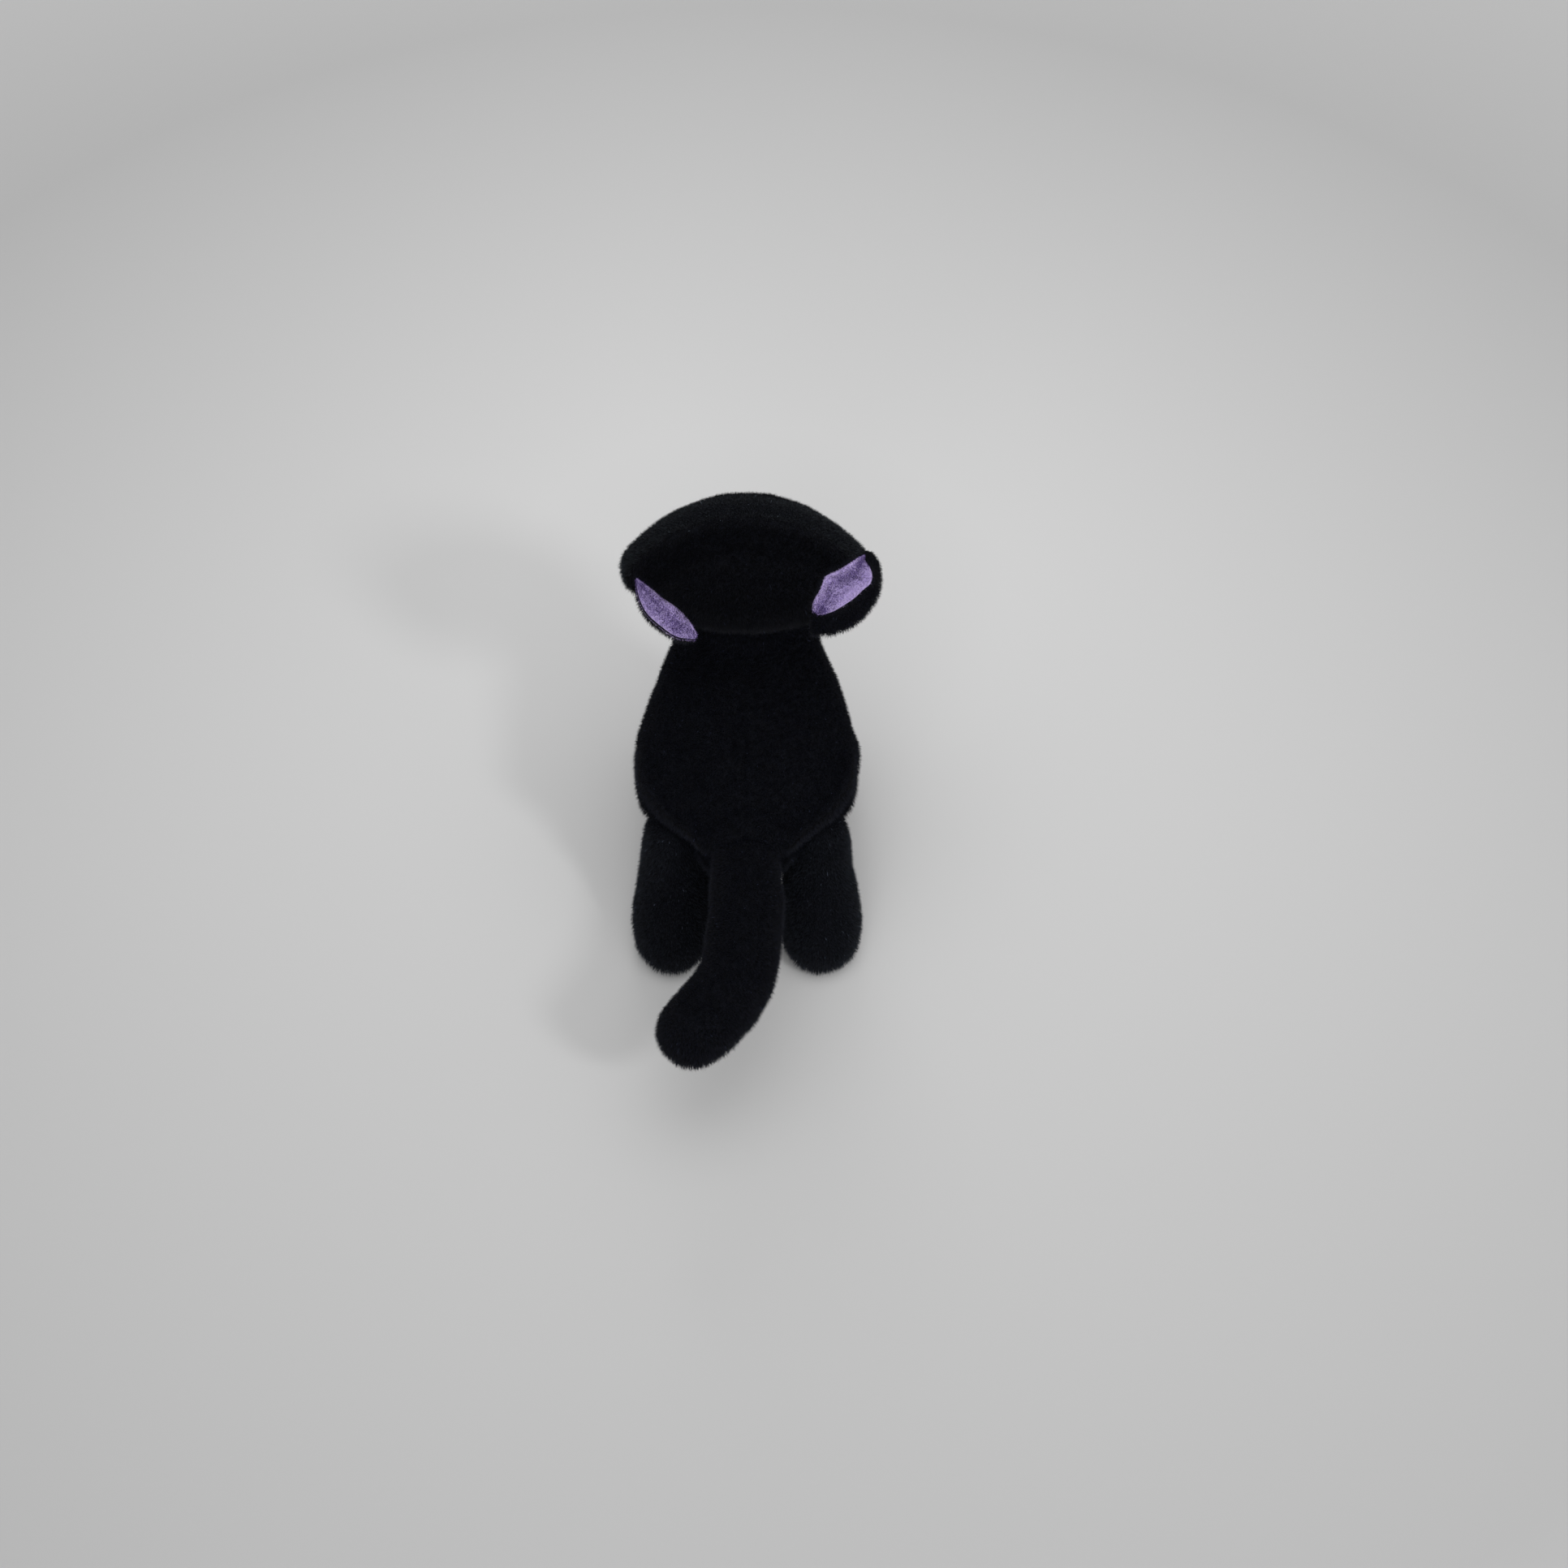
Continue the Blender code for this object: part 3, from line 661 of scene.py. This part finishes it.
def through(stops, count):
    """Evenly spaced points on a smooth curve through the given ones."""
    known = np.array(stops, float)
    padded = np.vstack([2 * known[0] - known[1], known, 2 * known[-1] - known[-2]])
    fine = []
    for a, b, c, d in zip(padded, padded[1:], padded[2:], padded[3:]):
        for t in np.linspace(0, 1, 16, endpoint=False):
            fine.append(
                0.5 * (2 * b + (c - a) * t + (2 * a - 5 * b + 4 * c - d) * t**2
                       + (3 * b - a - 3 * c + d) * t**3)
            )
    fine = np.array(fine + [known[-1]])
    run = np.concatenate([[0], np.cumsum(np.linalg.norm(np.diff(fine, axis=0), axis=1))])
    even = np.linspace(0, run[-1], count)
    return np.stack([np.interp(even, run, fine[:, i]) for i in range(fine.shape[1])], axis=1)


def shell(name, rings):
    """A closed skin through rings of points, drawn to a point past each end."""
    form = bmesh.new()
    rows = [[form.verts.new(p) for p in ring] for ring in rings]
    for before, after in zip(rows, rows[1:]):
        for i in range(len(before)):
            j = (i + 1) % len(before)
            form.faces.new((before[i], before[j], after[j], after[i]))
    for row, flip in ((rows[0], True), (rows[-1], False)):
        middle = form.verts.new(sum((v.co for v in row), Vector()) / len(row))
        for i in range(len(row)):
            j = (i + 1) % len(row)
            face = (row[j], row[i], middle) if flip else (row[i], row[j], middle)
            form.faces.new(face)
    bmesh.ops.recalc_face_normals(form, faces=form.faces)
    mesh = bpy.data.meshes.new(name)
    form.to_mesh(mesh)
    form.free()
    return linked(name, mesh)


def head_depth(tree, origin, across, up):
    """How far out the head's skin stands at a place in the ear's own plane."""
    high = 60 * MM
    start = origin + RIGHT * across + UP * up + OUT * high
    hit = tree.ray_cast(start, -OUT)
    return high - hit[3] if hit[0] else None


def weigh(thing, name, weights):
    group = thing.vertex_groups.new(name=name)
    for index, weight in enumerate(weights):
        group.add([index], float(weight), "REPLACE")


def make_ear(side, tree):
    shape = EARS[side]
    origin = joint_at(f"{side}_ear_fold")
    inner = through(shape["inner"], STATIONS) * MM
    rim = through(shape["rim"], STATIONS) * MM
    outer = through(shape["outer"], STATIONS) * MM
    crease = through(shape["crease"], STATIONS) * MM
    deepest = []
    depth = [head_depth(tree, origin, *p) for p in inner]
    lowest = min(d for d in depth if d is not None)
    depth = np.array([lowest if d is None else d for d in depth])
    depth = np.convolve(np.pad(depth, 2, mode="edge"), np.ones(5) / 5, mode="valid") + 0.4 * MM
    lining_rings = []
    back_rings = []
    for number in range(STATIONS):
        part = number / (STATIONS - 1)
        open_part = max(math.sin(math.pi * part), 0.0) ** 0.6
        i, c, r, o = inner[number], crease[number], rim[number], outer[number]
        base = depth[number]
        rim_out = base + shape["rim_lift"] * MM * open_part
        fold = shape["fold"] * MM * open_part

        def at(flat, lift):
            return origin + RIGHT * float(flat[0]) + UP * float(flat[1]) + OUT * float(lift)

        valley = base - fold
        front = [(i + (c - i) * t, base + (valley - base) * t) for t in np.linspace(0, 1, 5)]
        front += [
            (c + (r - c) * t, valley + (rim_out - valley) * t**0.8)
            for t in np.linspace(0, 1, 9)[1:]
        ]
        for place, (flat, lift) in enumerate(front[1:-1], 1):
            skin = head_depth(tree, origin, *flat)
            if skin is not None:
                front[place] = (flat, max(lift, skin + 0.9 * MM))
        deepest.append(at(*front[6]))
        thick = 0.9 * MM * (0.25 + 0.75 * open_part)
        lining_rings.append(
            [at(flat, lift) for flat, lift in front]
            + [at(flat, lift - thick) for flat, lift in reversed(front)]
        )
        low = base + shape["outer_lift"] * MM * open_part
        section = [
            (r, rim_out + 0.25 * MM),
            (r + (o - r) * 0.3, rim_out + 0.55 * MM * open_part),
            (r + (o - r) * 0.75, (rim_out + low) / 2 + 0.7 * MM * open_part),
            (o, low),
            (o + (i - o) * 0.12, low - 2.4 * MM * open_part),
            (o + (i - o) * 0.4, low - 4.0 * MM * open_part),
            (o + (i - o) * 0.75, low - 4.6 * MM * open_part),
            (i, base - 6.0 * MM * open_part - 0.5 * MM),
        ]
        section += [(flat, lift - thick * 0.85) for flat, lift in front[1:-1]]
        back_rings.append([at(flat, lift) for flat, lift in section])
    lining = shell(f"{side}_ear_lining_plush", lining_rings)
    back = shell(f"{side}_ear_back_plush", back_rings)
    for thing, finish, kind in (
        (lining, (LAVENDER, LAVENDER_PILE, LAVENDER_CREASE_SHADE), "lining"),
        (back, (BLACK, BLACK_PILE), "back"),
    ):
        refined(thing)
        wear(thing, *finish)
        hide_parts(f"{side}_ear_{kind}")
    # Weight "deep" marks the lining along its crease for the darker pile, a painted shade;
    # "light" marks the rest
    away = np.array(
        [min((Vector(p) - spot).length for spot in deepest) for p in points(lining)]
    )
    deep = np.exp(-((away / (2.5 * MM)) ** 2))
    weigh(lining, "deep", deep)
    weigh(lining, "light", 1 - deep)
    return {"lining": lining, "back": back}


head_tree = mesh_tree(head.data)
ears = {}
for side in ("left", "right"):
    for kind, thing in make_ear(side, head_tree).items():
        ears[(side, kind)] = thing

# Eyes: a flatter, deeper set dome over the CAD one, so none shows over the crown from behind
EYE_SINK = 0.7 * MM
EYE_FLAT = 0.85
EYE_SKIRT = 1.2 * MM
EYE_SIDES = 48
for side in ("left", "right"):
    node = NODES[f"{side}_eye"]
    low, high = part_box(f"{side}_eye_washer")
    inner = (low + high) / 2
    co = [v.co for v in node.data.vertices]
    centroid = sum(co, Vector()) / len(co)
    axis = (centroid - inner).normalized()
    out = [(p - inner).dot(axis) for p in co]
    wide = [((p - inner) - axis * (p - inner).dot(axis)).length for p in co]
    radius = max(wide)
    rim = max(o for o, w in zip(out, wide) if w > radius * 0.93)
    top = rim + (max(out) - rim) * EYE_FLAT
    profile = [(0.0, rim - EYE_SKIRT), (radius * 0.9, rim - EYE_SKIRT)]
    profile += [
        (radius * math.cos(turn), rim + (top - rim) * math.sin(turn))
        for turn in np.linspace(0.0, math.pi / 2, 14)
    ]
    form = bmesh.new()
    rows = []
    for reach, rise in profile:
        if reach < 1e-6:
            rows.append([form.verts.new((0, 0, rise - rim))])
        else:
            rows.append(
                [
                    form.verts.new((reach * math.cos(a), reach * math.sin(a), rise - rim))
                    for a in np.linspace(0, 2 * math.pi, EYE_SIDES, endpoint=False)
                ]
            )
    for below, above in zip(rows, rows[1:]):
        for i in range(EYE_SIDES):
            j = (i + 1) % EYE_SIDES
            ring = [below[i % len(below)], below[j % len(below)]]
            ring += [above[j % len(above)], above[i % len(above)]]
            form.faces.new(list(dict.fromkeys(ring)))
    bmesh.ops.recalc_face_normals(form, faces=form.faces)
    mesh = bpy.data.meshes.new(f"{side}_eye_dome")
    form.to_mesh(mesh)
    form.free()
    for face in mesh.polygons:
        face.use_smooth = True
    eye = linked(f"{side}_eye_dome", mesh)
    turn = axis.to_track_quat("Z", "Y").to_matrix().to_4x4()
    eye.matrix_world = Matrix.Translation(inner + axis * (rim - EYE_SINK)) @ turn
    wear(eye, iris(f"{side}_iris", radius))
    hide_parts(f"{side}_eye")
    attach(eye, "head")
    wear(NODES[f"{side}_eye_washer"], WASHER)

# Nose and mouth, in satin stitch
low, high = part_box("nose")
nose_at = (low + high) / 2
nose_half = (high - low) / 2
STITCHES = 15
rings = []
for row in np.linspace(-0.96, 0.96, 61):
    stitch = abs(math.sin(math.pi * STITCHES * (row + 1) / 2)) ** 0.5
    reach_up = 0.78 * math.sqrt(1 - row * row * 0.75)
    reach_down = max(0.12, 1.15 * (1 - abs(row)) ** 0.8)
    plump = (1 - row * row * 0.8) * (0.82 + 0.3 * stitch)
    ring = []
    for turn in np.linspace(0, 2 * math.pi, 28, endpoint=False):
        rise = math.cos(turn)
        tall = (reach_up if rise > 0 else reach_down) * rise
        deep = -math.sin(turn) * 1.25 * plump if math.sin(turn) > 0 else -math.sin(turn) * 0.6
        across = row * nose_half.x * 1.1
        ring.append(nose_at + Vector((across, deep * nose_half.y, tall * nose_half.z * 1.15)))
    rings.append(ring)
nose = shell("nose_stitched", rings)
refined(nose)
wear(nose, THREAD)
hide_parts("nose")
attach(nose, "head")
wear(NODES["mouth_stitching"], THREAD)
rounder = NODES["mouth_stitching"].modifiers.new("rounder", "SUBSURF")
rounder.levels = rounder.render_levels = 1

# ---------------------------------------------------------------- joints and pile

below = neck_at - neck_axis * 14 * MM
above = neck_at + neck_axis * 6 * MM
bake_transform(torso)
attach(head, "head")
for leg, cover in legs.items():
    hip = joint_at(f"{leg}_hip")
    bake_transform(cover)
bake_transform(tail)
for (side, part), thing in ears.items():
    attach(thing, f"{side}_ear")


def clear_of(thing, others, near, far):
    """1 away from the other pieces, 0 close to them."""
    gap = np.full(len(points(thing)), 1.0)
    for other in others:
        tree = mesh_tree(other.data)
        gap = np.minimum(gap, [tree.find_nearest(p)[3] for p in points(thing)])
    return smooth(gap, near, far)


# The pile is clipped short round the stitched face, is lighter over the crown, a painted sheen,
# and there is none under an ear's lining
face = reach_to(head, ["nose", "mouth_stitching"])
weigh(head, "clipped", 0.15 + 0.85 * smooth(face, 1.2 * MM, 8 * MM))
from_back = reach_to(head, ["head_back_panel"])
from_front = reach_to(head, ["forehead_panel"])
crown = smooth(from_back - from_front, -2.5 * MM, 2.5 * MM)
crown *= 1 - smooth(from_back, 9 * MM, 20 * MM)
linings = [ears[(side, "lining")] for side in ("left", "right")]
furred = clear_of(head, linings, 1.3 * MM, 1.9 * MM)
weigh(head, "bare", furred * (1 - crown))
weigh(head, "crown", furred * crown)
for side, lining in zip(("left", "right"), linings):
    back = ears[(side, "back")]
    weigh(back, "bare", clear_of(back, [lining], 0.7 * MM, 1.2 * MM))

for number, cover in enumerate([torso, head, tail, *legs.values()]):
    marks = ("clipped", "bare") if cover == head else (None, None)
    pile(cover, COVER_DENSITY, PILE_LENGTH, 100 + number, *marks)
# A second, lighter pile over the crown: a painted sheen
pile(head, COVER_DENSITY * np.mean(crown), PILE_LENGTH, 150, "clipped", "crown", 2)
for number, ((side, part), thing) in enumerate(ears.items()):
    if part == "lining":
        share = np.mean([v.groups[0].weight for v in thing.data.vertices])
        light = LINING_DENSITY * (1 - share)
        pile(thing, light, LINING_LENGTH, 200 + number, None, "light")
        # Darker pile along the crease: painted shade
        pile(thing, CREASE_SHADE_DENSITY * share, LINING_LENGTH, 210 + number, None, "deep", 2)
    else:
        pile(thing, COVER_DENSITY, PILE_LENGTH * EAR_PILE, 200 + number, None, "bare")

# ---------------------------------------------------------------- stage

FLOOR_REACH = 12.0
FLOOR_MIDDLE = (0, -0.15, 0)
floor_mesh = bpy.data.meshes.new("floor")
floor_mesh.from_pydata(
    [(x * FLOOR_REACH, y * FLOOR_REACH, 0) for x, y in ((-1, -1), (1, -1), (1, 1), (-1, 1))],
    [],
    [(0, 1, 2, 3)],
)
floor = linked("floor", floor_mesh)
floor.location = FLOOR_MIDDLE
paper, paper_tree, paper_surface = shader("paper", 0.75)
place = paper_tree.nodes.new("ShaderNodeTexCoord").outputs["Object"]
away = paper_tree.nodes.new("ShaderNodeVectorMath")
away.operation = "LENGTH"
paper_tree.links.new(place, away.inputs[0])
# Painted light falloff: lightest round the object and darker towards the edges of the view, by
# distance in metres
painted_falloff_stops = ((0.1, (0.80,) * 3), (0.43, (0.57,) * 3), (0.9, (0.78,) * 3))
painted_falloff = ramp(paper_tree, away.outputs["Value"], painted_falloff_stops)
paper_tree.links.new(painted_falloff, paper_surface.inputs["Base Color"])
wear(floor, paper)

world = bpy.data.worlds.new("studio")
bpy.context.scene.world = world
world.use_nodes = True
sky = world.node_tree
back_sky = sky.nodes["Background"]
fill_sky = sky.nodes.new("ShaderNodeBackground")
back_sky.inputs["Color"].default_value = (0.46, 0.46, 0.46, 1.0)
back_sky.inputs["Strength"].default_value = 1.0
fill_sky.inputs["Color"].default_value = (1.0, 1.0, 1.0, 1.0)
fill_sky.inputs["Strength"].default_value = 0.36
seen = sky.nodes.new("ShaderNodeLightPath").outputs["Is Camera Ray"]
either = sky.nodes.new("ShaderNodeMixShader")
sky.links.new(seen, either.inputs["Fac"])
sky.links.new(fill_sky.outputs[0], either.inputs[1])
sky.links.new(back_sky.outputs[0], either.inputs[2])
sky.links.new(either.outputs[0], sky.nodes["World Output"].inputs["Surface"])

aim = Vector((-12.42, -55.55, 0)) * MM


def softbox(name, offset, size, power):
    data = bpy.data.lights.new(name, "AREA")
    data.shape = "DISK"
    data.size = size
    data.energy = power
    lamp = bpy.data.objects.new(name, data)
    bpy.context.scene.collection.objects.link(lamp)
    lamp.location = aim + Vector(offset)
    lamp.rotation_mode = "QUATERNION"
    lamp.rotation_quaternion = Vector(offset).to_track_quat("Z", "Y")


softbox("overhead", (0.0, -0.1, 1.0), 0.9, 1.0)
softbox("rear", (0.2, 1.2, 0.4), 0.6, 2.6)
softbox("far", (0.1, -1.3, 0.75), 0.6, 2.6)
softbox("key", (-1.0, 0.93, 1.1), 0.28, 5.2)
wide_light = bpy.data.lights.new("wide", "SUN")
wide_light.angle = math.radians(120)
wide_light.energy = 0.55
wide = bpy.data.objects.new("wide", wide_light)
bpy.context.scene.collection.objects.link(wide)
wide.rotation_euler = (math.radians(-25), 0, 0)

CAMERA_TILT = math.radians(50)
CAMERA_AWAY = 0.79
lens_data = bpy.data.cameras.new("camera")
lens_data.lens = 50
lens_data.sensor_width = 36
camera = bpy.data.objects.new("camera", lens_data)
bpy.context.scene.collection.objects.link(camera)
back = Vector((0, math.cos(CAMERA_TILT), math.sin(CAMERA_TILT)))
camera.location = aim + back * CAMERA_AWAY
camera.rotation_mode = "QUATERNION"
camera.rotation_quaternion = back.to_track_quat("Z", "Y")
lens_data.clip_start = 0.01
bpy.context.scene.camera = camera
bpy.context.scene.view_settings.view_transform = "Standard"
